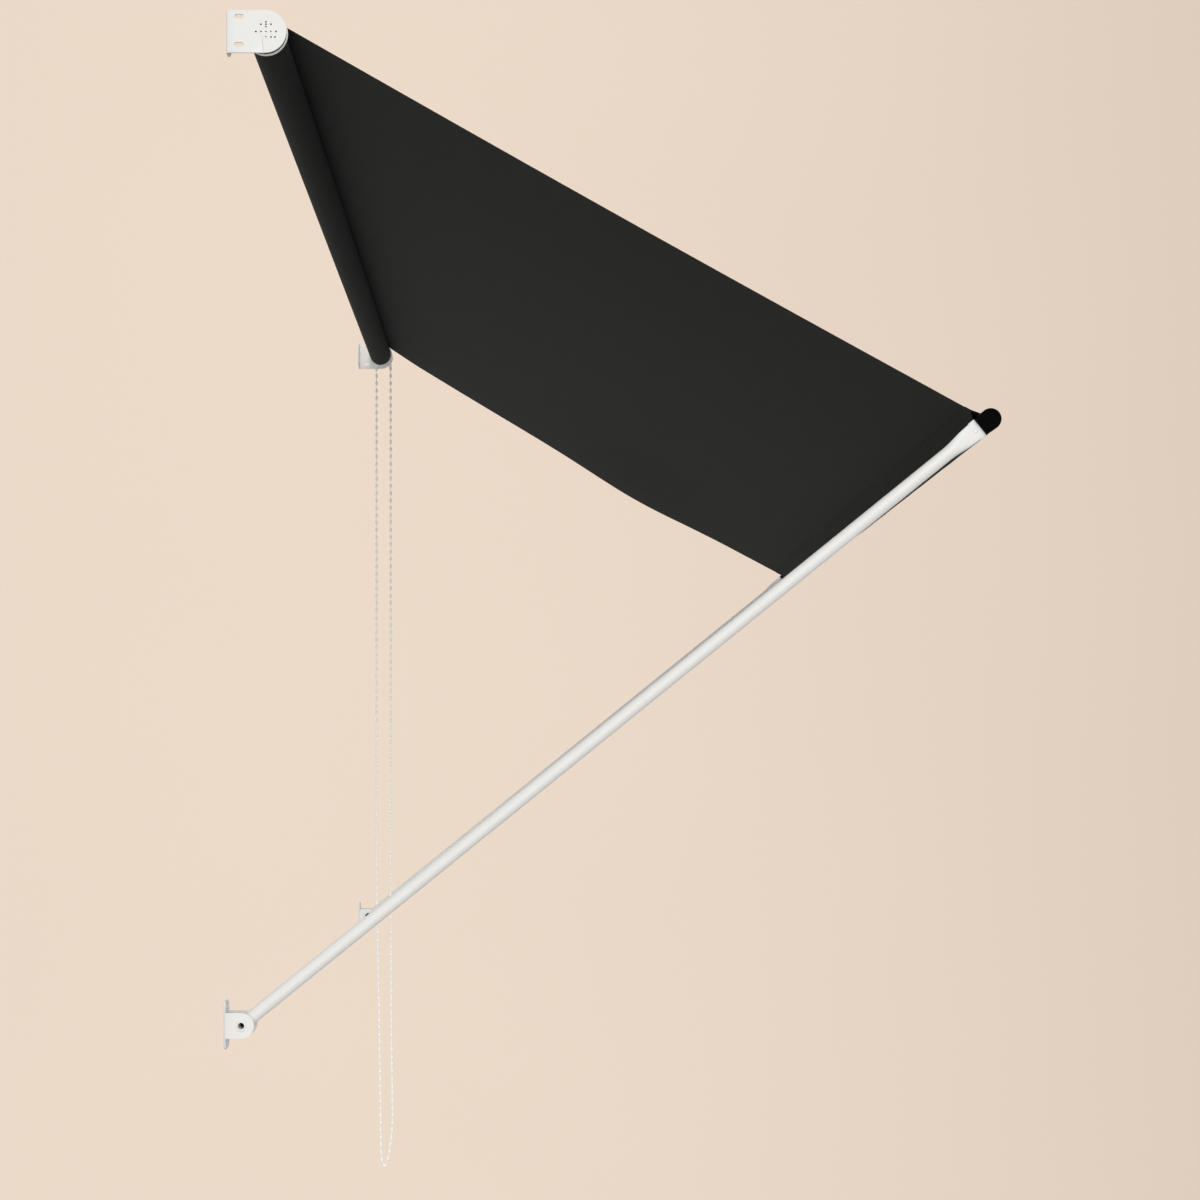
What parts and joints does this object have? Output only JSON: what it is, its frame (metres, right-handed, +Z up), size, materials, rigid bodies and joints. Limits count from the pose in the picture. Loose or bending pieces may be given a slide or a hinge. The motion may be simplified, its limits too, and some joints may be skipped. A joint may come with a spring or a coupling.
{
  "type": "window awning",
  "caption": "Drop-arm window awning: a dark cloth sheet on a wall-mounted roller with a bead-chain drive, held out by a front bar on two hinged arms.",
  "frame": {"origin": "on the wall plane, midway along the width, at the height of the roller's axis", "axes": "+X along the width towards the drive chain, +Y into the wall, +Z up"},
  "size_m": [1.535, 0.9679, 1.8235],
  "materials": {
    "white_paint": "satin white powder coat",
    "white_plastic": "satin",
    "black_plastic": "fine texture",
    "dark_cloth": "tight plain weave, matt",
    "aluminium": "mill",
    "zinc_steel": "zinc plated",
    "chain_white": "smooth"
  },
  "bodies": {
    "wall_parts": {"left_roller_bracket": "white_paint", "right_roller_bracket": "white_paint", "left_arm_bracket": "white_paint", "right_arm_bracket": "white_paint", "left_pivot_pin": "white_paint", "right_pivot_pin": "white_paint", "left_pivot_cap": "black_plastic", "right_pivot_cap": "black_plastic", "idle_pin": "zinc_steel", "idle_disc": "black_plastic", "clutch_housing": "white_plastic", "bead_chain": "chain_white"},
    "roller": {"roller_tube": "aluminium", "cloth_roll": "dark_cloth", "idle_end_plug": "white_plastic", "drive_plug": "white_plastic", "chain_sprocket": "white_plastic"},
    "arms": {"left_arm": "white_paint", "left_outer_bush": "white_plastic", "left_inner_bush": "white_plastic", "left_knuckle": "black_plastic", "left_knuckle_rivet": "zinc_steel", "right_arm": "white_paint", "right_outer_bush": "white_plastic", "right_inner_bush": "white_plastic", "right_knuckle": "black_plastic", "right_knuckle_rivet": "zinc_steel"},
    "front_bar": {"front_bar": "aluminium", "hem_pocket": "dark_cloth", "left_bar_plug": "black_plastic", "right_bar_plug": "black_plastic"},
    "canopy": {"canopy_cloth": "dark_cloth"}
  },
  "joints": [
    {"name": "arm_swing", "type": "hinge", "parent": "wall_parts", "child": "arms", "pos_m": [0, -0.022, -1.243], "axis": [-1, 0, 0], "range_deg": [0, 47], "deforming": ["canopy_cloth"]},
    {"name": "roller_spin", "type": "hinge", "parent": "wall_parts", "child": "roller", "pos_m": [0, -0.049, 0], "axis": [-1, 0, 0], "range_deg": [0, 2223.1]},
    {"name": "canopy_tilt", "type": "hinge", "parent": "wall_parts", "child": "canopy", "pos_m": [0, -0.049, 0], "axis": [-1, 0, 0], "range_deg": [0, 23.5]},
    {"name": "bar_turn", "type": "hinge", "parent": "arms", "child": "front_bar", "pos_m": [0, -0.95457, -0.48782], "axis": [-1, 0, 0], "range_deg": [-47, 0]}
  ],
  "couplings": [
    {"joint": "roller_spin", "follows": "arm_swing", "ratio": 47.3},
    {"joint": "canopy_tilt", "follows": "arm_swing", "ratio": 0.5},
    {"joint": "bar_turn", "follows": "arm_swing", "ratio": -1}
  ]
}
